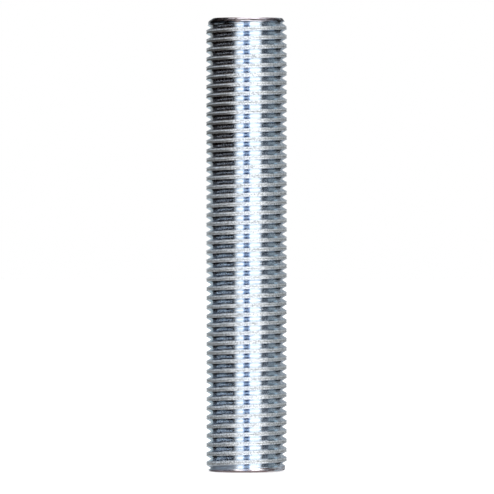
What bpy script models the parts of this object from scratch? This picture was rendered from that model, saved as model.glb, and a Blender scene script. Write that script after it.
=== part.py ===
"""Fully threaded pipe nipple: one steel tube with a running straight pipe thread from end to end.

Metres, +Z up. The origin is the centre of the lower end face, so the tube stands on z = 0 and
its axis is the Z axis. The thread is right-handed and single-start. It is one piece of metal:
nothing is fitted to it or inside it.
"""

import math

import bmesh
import bpy

MM = 0.001
INCH = 25.4 * MM

# Driving dimensions: a quarter-inch pipe nipple, 2 3/4 inches long, at 18 threads to the inch.
LENGTH = 2.75 * INCH
THREADS_PER_INCH = 18
CREST_DIAMETER = 12.4 * MM
BORE_DIAMETER = 9.0 * MM
END_CHAMFER = 0.6 * MM  # 45 degrees, on the outer edge of each end
BORE_CHAMFER = 0.25 * MM  # 45 degrees, on the bore's edge at each end

# Thread form: 60 degree V grooves, with the crests and the roots cut off flat.
PITCH = INCH / THREADS_PER_INCH
CREST_FLAT = 0.38 * PITCH
ROOT_FLAT = 0.11 * PITCH
HALF_THREAD_ANGLE = math.radians(30)
FIRST_CREST_HEIGHT = 0.40 * PITCH  # middle of the lowest crest above the lower face, on the +X side

# Worked out from the above.
CREST_RADIUS = CREST_DIAMETER / 2
THREAD_DEPTH = (PITCH - CREST_FLAT - ROOT_FLAT) / 2 / math.tan(HALF_THREAD_ANGLE)
ROOT_RADIUS = CREST_RADIUS - THREAD_DEPTH
BORE_RADIUS = BORE_DIAMETER / 2

# How finely it is made.
STEPS_PER_TURN = 28
SPARE_TURNS = 2  # whole turns of thread beyond each end, which the tube's ends cut away
SPARE_RADIUS = 0.5 * MM  # how far the tube blank stands outside the crests
WELD_DISTANCE = 0.001 * MM
SHARP_EDGE_ANGLE = math.radians(25)


def clear_scene():
    for obj in list(bpy.data.objects):
        bpy.data.objects.remove(obj, do_unlink=True)


def new_collection(name):
    collection = bpy.data.collections.new(name)
    bpy.context.scene.collection.children.link(collection)
    return collection


def zinc_plate():
    """Bright zinc plating with a faint blue cast."""
    material = bpy.data.materials.new("zinc_plate")
    material.use_nodes = True
    shader = material.node_tree.nodes["Principled BSDF"]
    shader.inputs["Base Color"].default_value = (0.70, 0.73, 0.77, 1.0)
    shader.inputs["Metallic"].default_value = 1.0
    shader.inputs["Roughness"].default_value = 0.28
    return material


def profile_object(name, points, closed, collection):
    """An outline in the XZ plane, as (radius, height) points joined by edges."""
    edges = [(i, i + 1) for i in range(len(points) - 1)]
    if closed:
        edges.append((len(points) - 1, 0))
    mesh = bpy.data.meshes.new(name)
    mesh.from_pydata([(radius, 0.0, height) for radius, height in points], edges, [])
    obj = bpy.data.objects.new(name, mesh)
    collection.objects.link(obj)
    return obj


def add_screw(obj, rise_per_turn, turns):
    screw = obj.modifiers.new("Screw", "SCREW")
    screw.axis = "Z"
    screw.angle = math.tau
    screw.screw_offset = rise_per_turn
    screw.iterations = turns
    screw.steps = STEPS_PER_TURN
    screw.render_steps = STEPS_PER_TURN
    screw.use_normal_calculate = False
    return screw


def thread_skin(collection):
    """The threaded surface, swept from one pitch of outline and longer than the tube."""
    turns = math.ceil(LENGTH / PITCH) + 2 * SPARE_TURNS
    half_crest = CREST_FLAT / 2
    flank_foot = (PITCH - ROOT_FLAT) / 2
    one_pitch = [
        (ROOT_RADIUS, flank_foot),
        (CREST_RADIUS, half_crest),
        (CREST_RADIUS, -half_crest),
        (ROOT_RADIUS, -flank_foot),
        (ROOT_RADIUS, -flank_foot - ROOT_FLAT),
    ]
    skin = profile_object("thread_outline", one_pitch, False, collection)
    skin.location.z = FIRST_CREST_HEIGHT - SPARE_TURNS * PITCH
    add_screw(skin, PITCH, turns)
    weld = skin.modifiers.new("Weld", "WELD")
    weld.merge_threshold = WELD_DISTANCE
    return skin


def close_ends(bm):
    """Draws each open rim of a swept skin together to a point on the axis."""
    rims = [edge for edge in bm.edges if edge.is_boundary]
    middle = sum(vert.co.z for vert in bm.verts) / len(bm.verts)
    for side in (-1, 1):
        rim = [edge for edge in rims if side * (edge.verts[0].co.z - middle) > 0]
        made = bmesh.ops.extrude_edge_only(bm, edges=rim)["geom"]
        ends = [item for item in made if isinstance(item, bmesh.types.BMVert)]
        height = sum(vert.co.z for vert in ends) / len(ends)
        bmesh.ops.pointmerge(bm, verts=ends, merge_co=(0.0, 0.0, height))
    bmesh.ops.recalc_face_normals(bm, faces=bm.faces)


def solid_mesh(skin):
    """The skin as its modifiers leave it, closed at both ends, in world coordinates."""
    bpy.context.view_layer.update()
    graph = bpy.context.evaluated_depsgraph_get()
    mesh = bpy.data.meshes.new_from_object(skin.evaluated_get(graph))
    mesh.transform(skin.matrix_world)
    bm = bmesh.new()
    bm.from_mesh(mesh)
    close_ends(bm)
    bm.to_mesh(mesh)
    bm.free()
    return mesh


def tube_blank(collection):
    """The plain tube with its bore and chamfered ends, a little larger outside than the crests."""
    rim = CREST_RADIUS - END_CHAMFER
    outside = CREST_RADIUS + SPARE_RADIUS
    chamfer_height = outside - rim
    outline = [
        (rim, LENGTH),
        (outside, LENGTH - chamfer_height),
        (outside, chamfer_height),
        (rim, 0.0),
        (BORE_RADIUS + BORE_CHAMFER, 0.0),
        (BORE_RADIUS, BORE_CHAMFER),
        (BORE_RADIUS, LENGTH - BORE_CHAMFER),
        (BORE_RADIUS + BORE_CHAMFER, LENGTH),
    ]
    blank = profile_object("tube_blank", outline, True, collection)
    add_screw(blank, 0.0, 1)
    weld = blank.modifiers.new("Weld", "WELD")
    weld.merge_threshold = WELD_DISTANCE
    blank.hide_render = True
    blank.display_type = "WIRE"
    return blank


def threaded_tube(collection, cutters):
    """The nipple itself: the threaded solid, kept only where the chamfered tube is."""
    skin = thread_skin(cutters)
    mesh = solid_mesh(skin)
    mesh.name = "threaded_tube"
    bpy.data.objects.remove(skin, do_unlink=True)
    mesh.materials.append(zinc_plate())
    tube = bpy.data.objects.new("threaded_tube", mesh)
    collection.objects.link(tube)
    ends = tube.modifiers.new("Cut to tube", "BOOLEAN")
    ends.operation = "INTERSECT"
    ends.solver = "EXACT"
    ends.object = tube_blank(cutters)
    mesh.shade_smooth()
    mesh.set_sharp_from_angle(angle=SHARP_EDGE_ANGLE)
    return tube


def main():
    clear_scene()
    nipple = new_collection("pipe_nipple")
    cutters = new_collection("cutters")
    threaded_tube(nipple, cutters)


main()
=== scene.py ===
"""The looks of the fully threaded pipe nipple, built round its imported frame.

Metres, +Z up, in the frame's own axes: the tube stands on z = 0 and its axis is Z. It is one piece
of zinc-plated steel, so one fine mesh stands for the one CAD node, with the rolled crests, rounded
roots and hand-turned ends that the CAD solid leaves out.
"""

import math
from collections import namedtuple

import bmesh
import bpy
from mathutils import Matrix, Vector

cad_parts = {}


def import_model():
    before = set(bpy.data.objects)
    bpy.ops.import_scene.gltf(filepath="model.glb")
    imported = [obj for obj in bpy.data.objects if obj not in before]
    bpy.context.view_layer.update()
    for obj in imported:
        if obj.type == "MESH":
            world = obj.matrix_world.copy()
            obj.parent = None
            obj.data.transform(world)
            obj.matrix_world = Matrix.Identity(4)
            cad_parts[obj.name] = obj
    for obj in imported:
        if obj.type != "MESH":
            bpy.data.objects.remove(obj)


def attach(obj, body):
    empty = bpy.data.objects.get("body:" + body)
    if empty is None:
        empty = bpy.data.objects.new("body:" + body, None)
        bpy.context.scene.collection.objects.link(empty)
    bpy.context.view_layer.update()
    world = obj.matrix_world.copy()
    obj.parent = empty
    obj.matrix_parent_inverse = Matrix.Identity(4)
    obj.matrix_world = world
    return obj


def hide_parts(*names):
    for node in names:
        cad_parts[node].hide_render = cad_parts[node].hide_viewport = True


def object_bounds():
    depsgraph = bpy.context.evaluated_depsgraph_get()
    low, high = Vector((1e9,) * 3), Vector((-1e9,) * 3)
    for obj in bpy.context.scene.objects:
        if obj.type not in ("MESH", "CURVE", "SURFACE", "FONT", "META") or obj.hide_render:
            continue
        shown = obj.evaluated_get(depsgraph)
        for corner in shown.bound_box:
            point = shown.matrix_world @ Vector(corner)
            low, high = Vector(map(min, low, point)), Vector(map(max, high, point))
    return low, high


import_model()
cad_low, cad_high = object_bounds()

MM = 0.001
INCH = 25.4 * MM

# The tube. Its length and its radius over the crests are the frame's.
LENGTH = cad_high.z - cad_low.z
CREST_RADIUS = (cad_high.x - cad_low.x) / 2
BORE_RADIUS = 4.5 * MM
BORE_CHAMFER = 0.25 * MM
BORE_MOUTH = BORE_RADIUS + BORE_CHAMFER

# The thread: V grooves between crests that the rolling left with two lips and a hollow.
PITCH = INCH / 18
CREST_FLAT = 0.38 * PITCH
CREST_ROUND = 0.03 * MM
HOLLOW_DEPTH = 0.05 * MM
HOLLOW_SHARES = (0.0, 0.35, 0.7)  # places of the hollow's points, as shares of the way to the lip
ROOT_ROUND = 0.075 * MM
FLANK_ANGLE = math.radians(30.3)  # half the groove's angle, a touch more than the V's 30 degrees
FIRST_CREST_HEIGHT = 0.40 * PITCH  # middle of the lowest crest, on the +X side
HALF_CREST = CREST_FLAT / PITCH / 2  # in pitches

# How finely the tube is made.
ROUND_STEPS = 3  # steps round each of the outline's small arcs
FLANK_EDGE = 0.04  # share of a flank given to each strip that keeps the rest of it flat
STEPS_PER_TURN = 72
SPARE_TURNS = 2  # whole turns of thread beyond each end, which the tube's ends cut away
SPARE_RADIUS = 0.5 * MM  # how far the tube blank stands outside the crests
WELD_DISTANCE = 0.0005 * MM
SHARP_EDGE_ANGLE = math.radians(35)

# How an end was finished by hand: turned down to turned_radius for turned_depth, then chamfered from
# chamfer_depth to the rim. The rim sits rim_offset off the axis towards +X, and the face is a little
# out of square: its height rises by these slopes towards +X and +Y.
EndCut = namedtuple(
    "EndCut", "turned_radius turned_depth chamfer_depth rim_radius rim_offset slope_x slope_y"
)
TOP_END = EndCut(5.89 * MM, 1.05 * MM, 0.55 * MM, 5.30 * MM, 0.20 * MM, 0.0, 0.010)
BOTTOM_END = EndCut(5.94 * MM, 0.75 * MM, 0.20 * MM, 5.75 * MM, 0.08 * MM, 0.012, 0.024)
CORNER_ROUND = 0.12 * MM  # how far from each turned corner its rounding starts

# Noises, by how many features they have to a metre.
GRAIN_SCALE = 5200.0
SPECK_SCALE = 6500.0
CLOUD_SCALE = 450.0
ROLLED_SCALE = 700.0
ROLLED_LINES = 4550.0  # along the flanks, counted over the radius
TURNED_SCALE = 800.0
TURNED_LINES = 3600.0  # lathe lines, counted over the radius or the height

# Colours, as linear RGBA.
# Painted shade: the flanks under the crests, which face down, are a touch darker than the ones above
# them, which face up.
LIT_UPPER_FLANK_ZINC = (0.79, 0.83, 0.87, 1.0)
SHADED_LOWER_FLANK_ZINC = (0.76, 0.81, 0.86, 1.0)
STREAK_GREY = (0.50, 0.54, 0.60, 1.0)
# Painted shade: a darker grey for the flanks of the upper left.
PAINTED_SHADE_GREY = (0.53, 0.50, 0.49, 1.0)
FROST_DARK = (0.48, 0.50, 0.51, 1.0)
FROST_LIGHT = (0.95, 0.97, 0.98, 1.0)
# Painted shade: a dark brown for the edges of the crests on the upper left.
PAINTED_SHADE_BROWN = (0.16, 0.15, 0.14, 1.0)
SEAM_OLIVE = (0.22, 0.21, 0.17, 1.0)
CUT_DARK = (0.30, 0.23, 0.23, 1.0)
CUT_LIGHT = (0.96, 0.93, 0.96, 1.0)
LINE_SLATE = (0.08, 0.12, 0.16, 1.0)
# Burnt zinc, also used for the painted shadow ring under the upper chamfer.
BURNT_AND_SHADOW_DARK = (0.020, 0.012, 0.010, 1.0)
BURNT_AND_SHADOW_LIGHT = (0.22, 0.16, 0.14, 1.0)
# Painted shade: a brown line round the foot.
FOOT_SHADE_BROWN = (0.21, 0.155, 0.16, 1.0)

# Where marks show: each span runs from where a mark starts to where it shows in full. Phases are in
# pitches from a crest's middle, sides along X, heights from the lower end, and depths from the upper.
CREST_PHASES = (HALF_CREST + 0.02, HALF_CREST - 0.01)
SEAM_PHASES = (0.035, 0.012)
CUT_REACH = (1.4 * MM, 1.2 * MM)  # distance from the nearer end
CUT_DEPTH = (0.07 * MM, 0.12 * MM)  # distance below the rolled skin
BORE_EDGE = (4.8 * MM, 4.7 * MM)  # radius
# Where the painted shade on the edges of the crests of the upper left lies.
EDGE_SHADE_HEIGHTS = (38 * MM, 58 * MM)
EDGE_SHADE_SIDE = (-1.6 * MM, -3.4 * MM)
# Where the painted shade on the flanks of the upper left lies.
FLANK_SHADE_HEIGHTS = (30 * MM, 55 * MM)
FLANK_SHADE_SIDE = (-1.8 * MM, -2.6 * MM)
FLANK_SHADE_OUTER_SIDE = (-5.7 * MM, -5.5 * MM)
PATCH_DEPTHS = (1.1 * MM, 0.7 * MM)
PATCH_SIDE = (-1.6 * MM, -3.2 * MM)
SPOT_CENTRE = (5.45 * MM, -1.6 * MM, LENGTH - 0.3 * MM)
SPOT_RADII = (0.70 * MM, 0.35 * MM)
# Painted shadow: a thin dark ring at the step under the upper end's chamfer.
SHADOW_RING_DEPTH = 0.48 * MM
SHADOW_RING_WIDTHS = (0.16 * MM, 0.07 * MM)  # distance to either side of the ring's middle
LINE_DEPTH = 0.84 * MM
LINE_WIDTHS = (0.18 * MM, 0.08 * MM)  # distance to either side of the line's middle
# Where the painted shade round the foot lies.
FOOT_SHADE_HEIGHTS = (0.42 * MM, 0.30 * MM)
WORN_HEIGHTS = (1.7 * MM, 1.0 * MM)
WORN_SIDE = (-1.2 * MM, -2.4 * MM)

# How a value changes over a span: the span's start and end, then what it is at each.
FLANK_CHANGE = (-0.02, 0.02, 0.0, 1.0)  # over the phase, from the flank below a crest to the one above
FOOT_SHADE_STRENGTH = (2.0 * MM, 4.5 * MM, 0.95, 0.4)  # along X
# The painted shade's strength over the phase, at a crest's lower and upper edges.
EDGE_SHADE_LOWER_EDGE = (-0.05, 0.02, 0.9, 0.0)  # strength over the phase
EDGE_SHADE_UPPER_EDGE = (0.10, 0.16, 0.0, 0.8)

# The same over the values of a noise.
FLANK_STREAKS = (0.30, 0.50, 0.50, 0.0)  # share of grey
CREST_FROST = (0.36, 0.60, 0.0, 1.0)  # share of the light colour
LATHE_STREAKS = (0.40, 0.50, 0.0, 1.0)  # share of the light colour
BURNT_AND_SHADOW_STREAKS = (0.52, 0.62, 0.0, 1.0)  # share of the light colour
BURNT_AND_SHADOW_STRENGTH = (0.30, 0.60, 0.75, 1.0)
SEAM_STRENGTH = (0.40, 0.60, 0.2, 0.85)
SHADOW_RING_STRENGTH = (0.35, 0.55, 0.35, 0.9)
LINE_STRENGTH = (0.35, 0.55, 0.6, 0.95)
PATCH_DRAG = (0.35, 0.65, 2.0 * MM, -2.0 * MM)  # how far the lathe lines drag the patch's edge
DULL_SPECKS = (0.62, 0.70, 0.0, 1.0)
FLANK_ROUGHNESS = (0.3, 0.7, 0.05, 0.11)
CREST_ROUGHNESS = (0.3, 0.7, 0.40, 0.52)
CUT_ROUGHNESS = (0.40, 0.60, 0.36, 0.18)

# The rest of the finish.
UPPER_FLANK_ROUGHER = 0.04
DULL_ROUGHNESS = 0.40
CREST_METAL = 0.82  # the frosting scatters some light like a white powder
FROST_BUMP = 0.04 * MM
FROST_STRENGTHS = (0.015, 0.8)  # off the crests and on them
LATHE_BUMP = 0.03 * MM
LATHE_STRENGTHS = (0.0, 0.5)  # off the cut surfaces and on them

# The camera: a long lens, level, and square to the tube.
CAMERA_DISTANCE = 1054 * MM
CLIP_END = 20.0
FRAME_HEIGHT = 76.0 * MM  # what the picture takes in, at the tube's axis
AIM = Vector((0.07 * MM, 0.0, 34.56 * MM))
SENSOR = 36.0

# The studio.
SURROUND_RADIUS = 0.9
SURROUND_LOW = -0.75
SURROUND_HIGH = 0.9
CARD_STEP = 3.0  # degrees of azimuth to each flat of a card
CEILING_HEIGHT = 1.2
CEILING_FRONT = -1.0
CEILING_BACK = 6.0
CEILING_SIDE = 4.0
SOFTBOX_COLOUR = (0.97, 0.98, 1.0)
FEATHER_STEPS = 6  # strips in which a softbox fades out at its outer edge
FLOOR_HALF = 6.0
FLOOR_GREY = (0.85, 0.85, 0.85, 1.0)
FLOOR_GLOW = 0.5
WHITE = (1.0, 1.0, 1.0, 1.0)


def arc(radius, height, size, start, end, steps):
    """Points of an arc round (radius, height), from the start angle to the end angle, both included.

    Angle 0 points away from the tube's axis, and 90 degrees points up.
    """
    angles = (start + (end - start) * step / steps for step in range(steps + 1))
    return [(radius + size * math.cos(angle), height + size * math.sin(angle)) for angle in angles]


def outline_half():
    """Half a pitch of thread outline, from the middle of a crest up to the middle of the root."""
    lip = CREST_FLAT / 2 - CREST_ROUND * math.tan(FLANK_ANGLE)
    hollow = []
    for share in HOLLOW_SHARES:
        depth = HOLLOW_DEPTH * (1 + math.cos(math.pi * share)) / 2
        hollow.append((CREST_RADIUS - depth, lip * share))
    turn = math.radians(90) - FLANK_ANGLE
    crest = arc(CREST_RADIUS - CREST_ROUND, lip, CREST_ROUND, 0.0, turn, ROUND_STEPS)
    apex = CREST_RADIUS - (PITCH - CREST_FLAT) / 2 / math.tan(FLANK_ANGLE)
    root_middle = apex + ROOT_ROUND / math.sin(FLANK_ANGLE)
    root = arc(root_middle, PITCH / 2, ROOT_ROUND, math.pi + turn, math.pi, ROUND_STEPS)
    flank = []
    for share in (FLANK_EDGE, 1 - FLANK_EDGE):
        flank.append(tuple(a + (b - a) * share for a, b in zip(crest[-1], root[0])))
    return hollow + crest + flank + root


def thread_outline():
    """One pitch of thread outline, from the root above a crest down to the root below it."""
    half = outline_half()
    above = list(reversed(half))
    below = [(radius, -height) for radius, height in half[1:]]
    return above + below


def swept(name, points, closed, rise_per_turn, turns):
    """The outline, given as (radius, height) points, turned round the Z axis as a mesh."""
    edges = [(i, i + 1) for i in range(len(points) - 1)]
    if closed:
        edges.append((len(points) - 1, 0))
    mesh = bpy.data.meshes.new(name)
    mesh.from_pydata([(radius, 0.0, height) for radius, height in points], edges, [])
    obj = bpy.data.objects.new(name, mesh)
    bpy.context.scene.collection.objects.link(obj)
    screw = obj.modifiers.new("Screw", "SCREW")
    screw.axis = "Z"
    screw.angle = math.tau
    screw.screw_offset = rise_per_turn
    screw.iterations = turns
    screw.steps = STEPS_PER_TURN
    screw.render_steps = STEPS_PER_TURN
    screw.use_normal_calculate = False
    weld = obj.modifiers.new("Weld", "WELD")
    weld.merge_threshold = WELD_DISTANCE
    graph = bpy.context.evaluated_depsgraph_get()
    done = bpy.data.meshes.new_from_object(obj.evaluated_get(graph))
    bpy.data.objects.remove(obj, do_unlink=True)
    return done


def close_ends(bm):
    """Draws each open rim of a swept skin together to a point on the axis."""
    rims = [edge for edge in bm.edges if edge.is_boundary]
    middle = sum(vert.co.z for vert in bm.verts) / len(bm.verts)
    for side in (-1, 1):
        rim = [edge for edge in rims if side * (edge.verts[0].co.z - middle) > 0]
        made = bmesh.ops.extrude_edge_only(bm, edges=rim)["geom"]
        ends = [item for item in made if isinstance(item, bmesh.types.BMVert)]
        height = sum(vert.co.z for vert in ends) / len(ends)
        bmesh.ops.pointmerge(bm, verts=ends, merge_co=(0.0, 0.0, height))
    bmesh.ops.recalc_face_normals(bm, faces=bm.faces)


def threaded_solid():
    """The thread, closed and longer than the tube at both ends."""
    turns = math.ceil(LENGTH / PITCH) + 2 * SPARE_TURNS
    mesh = swept("thread", thread_outline(), False, PITCH, turns)
    start = FIRST_CREST_HEIGHT - SPARE_TURNS * PITCH
    bm = bmesh.new()
    bm.from_mesh(mesh)
    bmesh.ops.translate(bm, verts=bm.verts, vec=(0.0, 0.0, start))
    close_ends(bm)
    bm.to_mesh(mesh)
    bm.free()
    return mesh


def rounded(before, corner, after):
    """Points of a rounding that takes the place of the corner between two neighbouring points."""
    before, corner, after = Vector(before), Vector(corner), Vector(after)
    start = corner + (before - corner).normalized() * CORNER_ROUND
    end = corner + (after - corner).normalized() * CORNER_ROUND
    shares = [step / ROUND_STEPS for step in range(ROUND_STEPS + 1)]
    return [tuple(start.lerp(corner, share).lerp(corner.lerp(end, share), share)) for share in shares]


def end_outline(cut):
    """The (radius, depth) points of one end, from outside the crests to the bore's wall."""
    outside = CREST_RADIUS + SPARE_RADIUS
    runout = (outside, cut.turned_depth + outside - cut.turned_radius)
    shoulder = (cut.turned_radius, cut.turned_depth)
    corner = (cut.turned_radius, cut.chamfer_depth)
    rim = (cut.rim_radius, 0.0)
    mouth = (BORE_MOUTH, 0.0)
    turned = rounded(shoulder, corner, rim) + rounded(corner, rim, mouth)
    return [runout, shoulder] + turned + [mouth, (BORE_RADIUS, BORE_CHAMFER)]


def skew_end(mesh, cut, side):
    """Moves one end's rim off the axis and its face out of square, never past the tube's length."""
    reach = CREST_RADIUS * math.hypot(cut.slope_x, cut.slope_y)
    for vert in mesh.vertices:
        if side * (vert.co.z - LENGTH / 2) < 0:
            continue
        radius = math.hypot(vert.co.x, vert.co.y)
        vert.co.z += cut.slope_x * vert.co.x + cut.slope_y * vert.co.y - side * reach
        if BORE_MOUTH + WELD_DISTANCE < radius < cut.turned_radius:
            share = (cut.turned_radius - radius) / (cut.turned_radius - cut.rim_radius)
            vert.co.x += cut.rim_offset * min(share, 1.0)


def tube_blank():
    """The plain tube with its bore and turned ends, a little larger than the crests between them."""
    lower = end_outline(BOTTOM_END)
    upper = [(radius, LENGTH - depth) for radius, depth in reversed(end_outline(TOP_END))]
    mesh = swept("blank", upper + lower, True, 0.0, 1)
    skew_end(mesh, TOP_END, 1)
    skew_end(mesh, BOTTOM_END, -1)
    return mesh


def nipple():
    """The tube itself: the threaded solid, kept only where the blank is."""
    tube = bpy.data.objects.new("zinc_plated_tube", threaded_solid())
    blank = bpy.data.objects.new("blank", tube_blank())
    for obj in (tube, blank):
        bpy.context.scene.collection.objects.link(obj)
    cut = tube.modifiers.new("Cut to tube", "BOOLEAN")
    cut.operation = "INTERSECT"
    cut.solver = "EXACT"
    cut.object = blank
    graph = bpy.context.evaluated_depsgraph_get()
    mesh = bpy.data.meshes.new_from_object(tube.evaluated_get(graph))
    tube.modifiers.clear()
    tube.data = mesh
    bpy.data.objects.remove(blank, do_unlink=True)
    mesh.shade_smooth()
    mesh.set_sharp_from_angle(angle=SHARP_EDGE_ANGLE)
    return tube


class Nodes:
    """Adds shader nodes to a tree and joins them. A plain value is set on the socket it goes to."""

    def __init__(self, tree):
        self.tree = tree

    def add(self, kind, **settings):
        node = self.tree.nodes.new(kind)
        for key, value in settings.items():
            setattr(node, key, value)
        return node

    def feed(self, socket, value):
        """Links another node's output to the socket, or sets a plain value on it."""
        if isinstance(value, bpy.types.NodeSocket):
            self.tree.links.new(value, socket)
        elif value is not None:
            socket.default_value = value

    def math(self, operation, *values):
        node = self.add("ShaderNodeMath", operation=operation)
        for socket, value in zip(node.inputs, values):
            self.feed(socket, value)
        return node.outputs[0]

    def plus(self, first, second):
        return self.math("ADD", first, second)

    def minus(self, first, second):
        return self.math("SUBTRACT", first, second)

    def times(self, first, second):
        return self.math("MULTIPLY", first, second)

    def larger(self, first, second):
        return self.math("MAXIMUM", first, second)

    def ramp(self, value, start, end, at_start=0.0, at_end=1.0):
        """A smooth step of the value, from at_start at the start to at_end at the end."""
        node = self.add("ShaderNodeMapRange", interpolation_type="SMOOTHSTEP")
        self.feed(node.inputs["Value"], value)
        self.feed(node.inputs["From Min"], start)
        self.feed(node.inputs["From Max"], end)
        self.feed(node.inputs["To Min"], at_start)
        self.feed(node.inputs["To Max"], at_end)
        return node.outputs["Result"]

    def line(self, value, middle, widths):
        """1 along a line where the value is near the middle, fading out to both sides."""
        return self.ramp(self.math("ABSOLUTE", self.minus(value, middle)), *widths)

    def distance(self, vector, point):
        node = self.add("ShaderNodeVectorMath", operation="DISTANCE")
        self.feed(node.inputs[0], vector)
        self.feed(node.inputs[1], point)
        return node.outputs["Value"]

    def mix(self, share, first, second):
        """The mix of two colours, where a share of 1 gives the second."""
        node = self.add("ShaderNodeMix", data_type="RGBA")
        self.feed(node.inputs[0], share)
        self.feed(node.inputs[6], first)
        self.feed(node.inputs[7], second)
        return node.outputs[2]

    def blend(self, share, first, second):
        """The mix of two numbers, where a share of 1 gives the second."""
        node = self.add("ShaderNodeMix", data_type="FLOAT")
        self.feed(node.inputs[0], share)
        self.feed(node.inputs[2], first)
        self.feed(node.inputs[3], second)
        return node.outputs[0]

    def noise(self, vector, scale, detail, w=None):
        node = self.add("ShaderNodeTexNoise", noise_dimensions="3D" if w is None else "4D")
        self.feed(node.inputs["Vector"], vector)
        self.feed(node.inputs["Scale"], scale)
        self.feed(node.inputs["Detail"], detail)
        if w is not None:
            self.feed(node.inputs["W"], w)
        return node.outputs["Fac"]

    def bump(self, distance, strength, height, normal=None):
        node = self.add("ShaderNodeBump")
        self.feed(node.inputs["Distance"], distance)
        self.feed(node.inputs["Strength"], strength)
        self.feed(node.inputs["Height"], height)
        self.feed(node.inputs["Normal"], normal)
        return node.outputs[0]


# Where a point of the surface lies. The phase is its height above the nearest crest's middle, in
# pitches from -0.5 to 0.5, and off_crest is the same without its sign.
Place = namedtuple("Place", "point x z from_top radius phase off_crest")

# The noises. Rolled ones run along the flanks, and turned ones along the lathe's lines.
Texture = namedtuple("Texture", "grain specks cloud rolled turned")


def surface_place(n):
    point = n.add("ShaderNodeTexCoord").outputs["Object"]
    split = n.add("ShaderNodeSeparateXYZ")
    n.feed(split.inputs[0], point)
    x, y, z = split.outputs
    radius = n.math("SQRT", n.plus(n.times(x, x), n.times(y, y)))
    turn = n.math("DIVIDE", n.math("ARCTAN2", y, x), math.tau)
    rise = n.math("DIVIDE", n.minus(z, FIRST_CREST_HEIGHT), PITCH)
    phase = n.math("WRAP", n.minus(rise, turn), 0.5, -0.5)
    return Place(point, x, z, n.minus(LENGTH, z), radius, phase, n.math("ABSOLUTE", phase))


def surface_texture(n, at):
    # A noise multiplies its W by its scale.
    rolled_w = n.times(at.radius, ROLLED_LINES / ROLLED_SCALE)
    turned_w = n.times(n.minus(at.radius, at.z), TURNED_LINES / TURNED_SCALE)
    return Texture(
        grain=n.noise(at.point, GRAIN_SCALE, 3.0),
        specks=n.noise(at.point, SPECK_SCALE, 1.0),
        cloud=n.noise(at.point, CLOUD_SCALE, 2.0),
        rolled=n.noise(at.point, ROLLED_SCALE, 2.0, rolled_w),
        turned=n.noise(at.point, TURNED_SCALE, 2.0, turned_w),
    )


def cut_mask(n, at):
    """1 on all that was turned or drilled, which lies inside the thread's own skin."""
    beside_crest = n.larger(n.minus(at.off_crest, HALF_CREST), 0.0)
    skin = n.minus(CREST_RADIUS, n.times(beside_crest, PITCH / math.tan(FLANK_ANGLE)))
    below_skin = n.ramp(n.minus(skin, at.radius), *CUT_DEPTH)
    near_end = n.ramp(n.math("MINIMUM", at.z, at.from_top), *CUT_REACH)
    in_bore = n.ramp(at.radius, *BORE_EDGE)
    return n.larger(in_bore, n.times(below_skin, near_end))


def crest_mask(n, at, cut):
    """1 on the crests, where they still have their rolled skin."""
    return n.times(n.ramp(at.off_crest, *CREST_PHASES), n.minus(1.0, cut))


def burnt_and_shadow_mask(n, at, texture):
    """1 where the upper end is darkened: zinc burnt off in a patch and a spot, and a thin ring of painted
    shadow at the step under the chamfer.
    """
    ragged = n.plus(at.x, n.ramp(texture.turned, *PATCH_DRAG))
    patch = n.times(n.ramp(ragged, *PATCH_SIDE), n.ramp(at.from_top, *PATCH_DEPTHS))
    spot = n.ramp(n.distance(at.point, SPOT_CENTRE), *SPOT_RADII)
    # Painted shadow in the step under the chamfer.
    shadow_ring = n.line(at.from_top, SHADOW_RING_DEPTH, SHADOW_RING_WIDTHS)
    shadow_ring = n.times(shadow_ring, n.ramp(texture.cloud, *SHADOW_RING_STRENGTH))
    burnt_and_shadow = n.larger(n.larger(patch, spot), shadow_ring)
    return n.times(burnt_and_shadow, n.ramp(texture.grain, *BURNT_AND_SHADOW_STRENGTH))


def flank_colour(n, at, texture):
    """Bluish zinc with grey streaks, the flanks facing down a touch darker as painted shade, and a grey
    painted shade on the upper left.
    """
    # Painted shade: the flanks that face down get the darker zinc.
    colour = n.mix(n.ramp(at.phase, *FLANK_CHANGE), SHADED_LOWER_FLANK_ZINC, LIT_UPPER_FLANK_ZINC)
    colour = n.mix(n.ramp(texture.rolled, *FLANK_STREAKS), colour, STREAK_GREY)
    # Painted shade on the flanks of the upper left, stopping short of the far edge.
    flank_shade = n.times(n.ramp(at.z, *FLANK_SHADE_HEIGHTS), n.ramp(at.x, *FLANK_SHADE_SIDE))
    flank_shade = n.times(flank_shade, n.ramp(at.x, *FLANK_SHADE_OUTER_SIDE))
    return n.mix(flank_shade, colour, PAINTED_SHADE_GREY)


def crest_colour(n, at, texture):
    """Frosted zinc, with painted shade on the upper left along both edges of each crest."""
    colour = n.mix(n.ramp(texture.grain, *CREST_FROST), FROST_DARK, FROST_LIGHT)
    edges = n.larger(n.ramp(at.phase, *EDGE_SHADE_LOWER_EDGE), n.ramp(at.phase, *EDGE_SHADE_UPPER_EDGE))
    # Painted shade: both edges of each crest darkened on the upper left.
    edge_shade = n.times(n.ramp(at.z, *EDGE_SHADE_HEIGHTS), n.ramp(at.x, *EDGE_SHADE_SIDE))
    return n.mix(n.times(edge_shade, edges), colour, PAINTED_SHADE_BROWN)


def skin_colour(n, at, texture, crest):
    """The rolled thread, with the dark seam where the metal met along each crest's middle."""
    colour = n.mix(crest, flank_colour(n, at, texture), crest_colour(n, at, texture))
    seam = n.times(n.ramp(at.off_crest, *SEAM_PHASES), n.ramp(texture.cloud, *SEAM_STRENGTH))
    return n.mix(seam, colour, SEAM_OLIVE)


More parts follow.
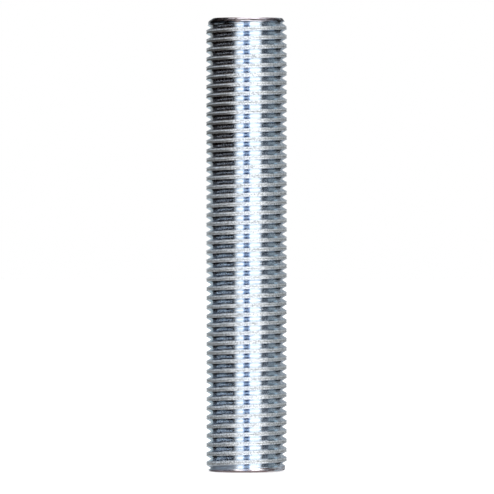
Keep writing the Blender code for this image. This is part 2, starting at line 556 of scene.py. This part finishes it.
def cut_colour(n, at, texture):
    """Lathe lines, light and dark, with a slate line round the turned side of the upper end."""
    colour = n.mix(n.ramp(texture.turned, *LATHE_STREAKS), CUT_DARK, CUT_LIGHT)
    slate = n.line(at.from_top, LINE_DEPTH, LINE_WIDTHS)
    slate = n.times(slate, n.ramp(texture.cloud, *LINE_STRENGTH))
    return n.mix(slate, colour, LINE_SLATE)


def zinc_colour(n, at, texture, cut, crest):
    """The whole tube's colour, with burnt marks and a painted shadow ring at the upper end, and a brown
    line of painted shade round the foot.
    """
    colour = n.mix(cut, skin_colour(n, at, texture, crest), cut_colour(n, at, texture))
    off_flank = n.larger(cut, crest)
    # The burnt marks and the painted shadow ring share these colours.
    burnt_and_shadow = n.mix(n.ramp(texture.turned, *BURNT_AND_SHADOW_STREAKS), BURNT_AND_SHADOW_DARK, BURNT_AND_SHADOW_LIGHT)
    colour = n.mix(n.times(burnt_and_shadow_mask(n, at, texture), off_flank), colour, burnt_and_shadow)
    # Painted shade round the foot, strongest towards -X and weaker towards +X.
    foot_shade = n.times(n.ramp(at.z, *FOOT_SHADE_HEIGHTS), n.ramp(at.x, *FOOT_SHADE_STRENGTH))
    return n.mix(n.times(foot_shade, off_flank), colour, FOOT_SHADE_BROWN)


def zinc_roughness(n, at, texture, cut, crest):
    """Glossy flanks with dull specks and a worn lowest groove, frosted crests, and lathe-bright ends."""
    rougher = n.times(n.ramp(at.phase, *FLANK_CHANGE), UPPER_FLANK_ROUGHER)
    flank = n.plus(n.ramp(texture.rolled, *FLANK_ROUGHNESS), rougher)
    flank = n.blend(n.ramp(texture.specks, *DULL_SPECKS), flank, DULL_ROUGHNESS)
    worn = n.times(n.ramp(at.z, *WORN_HEIGHTS), n.ramp(at.x, *WORN_SIDE))
    flank = n.blend(worn, flank, DULL_ROUGHNESS)
    skin = n.blend(crest, flank, n.ramp(texture.cloud, *CREST_ROUGHNESS))
    return n.blend(cut, skin, n.ramp(texture.turned, *CUT_ROUGHNESS))


def zinc_plate():
    """Bright zinc: glossy and bluish in the grooves, frosted on the crests, browned at the cut ends."""
    material = bpy.data.materials.new("zinc_plate")
    material.use_nodes = True
    shader = material.node_tree.nodes["Principled BSDF"]
    n = Nodes(material.node_tree)
    at = surface_place(n)
    texture = surface_texture(n, at)
    cut = cut_mask(n, at)
    crest = crest_mask(n, at, cut)
    n.feed(shader.inputs["Base Color"], zinc_colour(n, at, texture, cut, crest))
    n.feed(shader.inputs["Roughness"], zinc_roughness(n, at, texture, cut, crest))
    n.feed(shader.inputs["Metallic"], n.ramp(crest, 0.0, 1.0, 1.0, CREST_METAL))
    frost = n.bump(FROST_BUMP, n.ramp(crest, 0.0, 1.0, *FROST_STRENGTHS), texture.grain)
    lathe = n.bump(LATHE_BUMP, n.ramp(cut, 0.0, 1.0, *LATHE_STRENGTHS), texture.turned, frost)
    n.feed(shader.inputs["Normal"], lathe)
    return material


def glow(name, colour, strength):
    """A material that only gives off light."""
    material = bpy.data.materials.new(name)
    material.use_nodes = True
    tree = material.node_tree
    tree.nodes.clear()
    n = Nodes(tree)
    emission = n.add("ShaderNodeEmission")
    emission.inputs["Color"].default_value = (*colour, 1.0)
    emission.inputs["Strength"].default_value = strength
    output = n.add("ShaderNodeOutputMaterial")
    n.feed(output.inputs["Surface"], emission.outputs[0])
    return material


def reflected_only(obj):
    """Marks a card as part of the studio that shows only in the tube's reflections."""
    bpy.context.scene.collection.objects.link(obj)
    obj.visible_camera = False
    obj.visible_diffuse = False
    obj.visible_shadow = False


def card(name, start, end, low, high, colour, strength=1.0):
    """An upright curved card of the studio's surround, between two azimuths in degrees.

    Azimuth 0 is towards the camera and positive is to its right, as seen from the camera.
    """
    steps = math.ceil(abs(end - start) / CARD_STEP)
    points = []
    for height in (low, high):
        for step in range(steps + 1):
            angle = math.radians(start + (end - start) * step / steps)
            points.append((SURROUND_RADIUS * math.sin(angle), -SURROUND_RADIUS * math.cos(angle), height))
    faces = [(i, i + 1, i + steps + 2, i + steps + 1) for i in range(steps)]
    mesh = bpy.data.meshes.new(name)
    mesh.from_pydata(points, [], faces)
    mesh.materials.append(glow(name, colour, strength))
    reflected_only(bpy.data.objects.new(name, mesh))


def level_sheet(name, low_x, high_x, low_y, high_y, height):
    """A mesh of one level rectangle."""
    corners = [(low_x, low_y), (high_x, low_y), (high_x, high_y), (low_x, high_y)]
    mesh = bpy.data.meshes.new(name)
    mesh.from_pydata([(x, y, height) for x, y in corners], [], [(0, 1, 2, 3)])
    return mesh


def ceiling_card(name, low_x, high_x, colour):
    """A level card high above the tube, which the chamfer of its upper end looks up at."""
    mesh = level_sheet(name, low_x, high_x, CEILING_FRONT, CEILING_BACK, CEILING_HEIGHT)
    mesh.materials.append(glow(name, colour, 1.0))
    reflected_only(bpy.data.objects.new(name, mesh))


def softbox(name, inner, full, outer, strength):
    """A bright card from its inner to its full azimuth, which then fades out to its outer one."""
    card(name, inner, full, SURROUND_LOW, SURROUND_HIGH, SOFTBOX_COLOUR, strength)
    for step in range(FEATHER_STEPS):
        start = full + (outer - full) * step / FEATHER_STEPS
        end = full + (outer - full) * (step + 1) / FEATHER_STEPS
        share = (1 + math.cos(math.pi * (step + 0.5) / FEATHER_STEPS)) / 2
        fade = f"{name}_fade_{step}"
        card(fade, start, end, SURROUND_LOW, SURROUND_HIGH, SOFTBOX_COLOUR, strength * share)


def studio():
    """Two softboxes beside the camera, and dark flags, grey panels and light strips all round."""
    low, high = SURROUND_LOW, SURROUND_HIGH
    cards = (  # name, azimuths from and to, heights from and to, colour
        ("left_high_black", -176, -46, 0.35, high, (0.010, 0.006, 0.006)),
        ("left_back_grey", -176, -142, low, 0.35, (0.50, 0.58, 0.62)),
        ("left_far_black", -142, -115, 0.06, 0.35, (0.006, 0.005, 0.006)),
        ("left_far_slate", -142, -115, low, 0.06, (0.10, 0.12, 0.15)),
        ("left_black", -115, -46, 0.12, 0.35, (0.005, 0.004, 0.005)),
        ("left_slate", -115, -72, 0.06, 0.12, (0.34, 0.42, 0.48)),
        ("left_near_black", -72, -46, 0.06, 0.12, (0.005, 0.004, 0.005)),
        ("left_middle_black", -115, -46, -0.20, 0.06, (0.006, 0.005, 0.008)),
        ("left_bright_strip", -115, -46, -0.35, -0.20, (1.7, 2.0, 2.4)),
        ("left_low_black", -115, -46, low, -0.35, (0.05, 0.06, 0.08)),
        ("camera_gap_high", -8, 8, 0.15, high, (0.58, 0.74, 1.00)),
        ("camera_gap", -8, 8, 0.0, 0.15, (0.01, 0.04, 0.15)),
        ("camera_gap_low", -8, 8, -0.12, 0.0, (0.02, 0.06, 0.16)),
        ("camera_gap_floor", -8, 8, low, -0.12, (0.58, 0.74, 1.00)),
        ("camera_gap_left_edge", -11, -8, low, high, (0.78, 1.00, 1.40)),
        ("camera_gap_right_edge", 8, 11, low, high, (0.78, 1.00, 1.40)),
        ("right_high_slate", 56, 110, 0.35, high, (0.20, 0.27, 0.35)),
        ("right_black", 56, 75, 0.06, 0.35, (0.02, 0.02, 0.02)),
        ("right_slate", 56, 75, -0.06, 0.06, (0.13, 0.14, 0.17)),
        ("right_strip", 56, 75, -0.35, -0.06, (0.28, 0.30, 0.34)),
        ("right_grey", 75, 110, 0.12, 0.35, (0.10, 0.11, 0.12)),
        ("right_middle_grey", 75, 110, -0.12, 0.12, (0.30, 0.34, 0.36)),
        ("right_bright_strip", 75, 110, -0.35, -0.12, (0.60, 0.70, 0.76)),
        ("right_low", 56, 110, low, -0.35, (0.10, 0.13, 0.15)),
        ("right_far_black", 110, 145, 0.0, high, (0.02, 0.02, 0.02)),
        ("right_far_grey", 110, 145, -0.06, 0.0, (0.48, 0.56, 0.64)),
        ("right_far_strip", 110, 145, -0.35, -0.06, (0.32, 0.34, 0.36)),
        ("right_far_low", 110, 145, low, -0.35, (0.52, 0.66, 0.74)),
        ("right_back_grey", 147, 176, low, high, (0.36, 0.40, 0.44)),
    )
    for values in cards:
        card(*values)
    softbox("left_softbox", -11, -21, -46, 2.0)
    softbox("right_softbox", 11, 38, 56, 2.2)
    ceiling_card("left_ceiling_black", -CEILING_SIDE, -0.40, (0.012, 0.010, 0.010))
    ceiling_card("ceiling_softbox", -0.40, 0.50, (1.20, 1.17, 1.23))
    ceiling_card("right_ceiling_slate", 0.50, CEILING_SIDE, (0.36, 0.38, 0.43))


def floor():
    """A plain white floor that the tube stands on, kept out of its reflections."""
    mesh = level_sheet("floor", -FLOOR_HALF, FLOOR_HALF, -FLOOR_HALF, FLOOR_HALF, 0.0)
    material = bpy.data.materials.new("white_floor")
    material.use_nodes = True
    shader = material.node_tree.nodes["Principled BSDF"]
    shader.inputs["Base Color"].default_value = FLOOR_GREY
    shader.inputs["Roughness"].default_value = 1.0
    shader.inputs["Emission Color"].default_value = WHITE
    shader.inputs["Emission Strength"].default_value = FLOOR_GLOW
    mesh.materials.append(material)
    obj = bpy.data.objects.new("floor", mesh)
    bpy.context.scene.collection.objects.link(obj)
    obj.visible_glossy = False


def world():
    """White all round, which is the picture's background."""
    made = bpy.data.worlds.new("studio")
    made.use_nodes = True
    background = made.node_tree.nodes["Background"]
    background.inputs["Color"].default_value = WHITE
    background.inputs["Strength"].default_value = 1.0
    bpy.context.scene.world = made


def camera():
    """The camera, in front of the tube and looking along +Y."""
    data = bpy.data.cameras.new("camera")
    data.sensor_width = SENSOR
    data.lens = SENSOR * CAMERA_DISTANCE / FRAME_HEIGHT
    data.clip_end = CLIP_END
    obj = bpy.data.objects.new("camera", data)
    bpy.context.scene.collection.objects.link(obj)
    obj.location = AIM - Vector((0.0, CAMERA_DISTANCE, 0.0))
    obj.rotation_euler = (math.pi / 2, 0.0, 0.0)
    bpy.context.scene.camera = obj


tube = nipple()
tube.data.materials.clear()
tube.data.materials.append(zinc_plate())
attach(tube, "root")
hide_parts("threaded_tube")
studio()
floor()
world()
camera()
bpy.context.scene.view_settings.view_transform = "Standard"
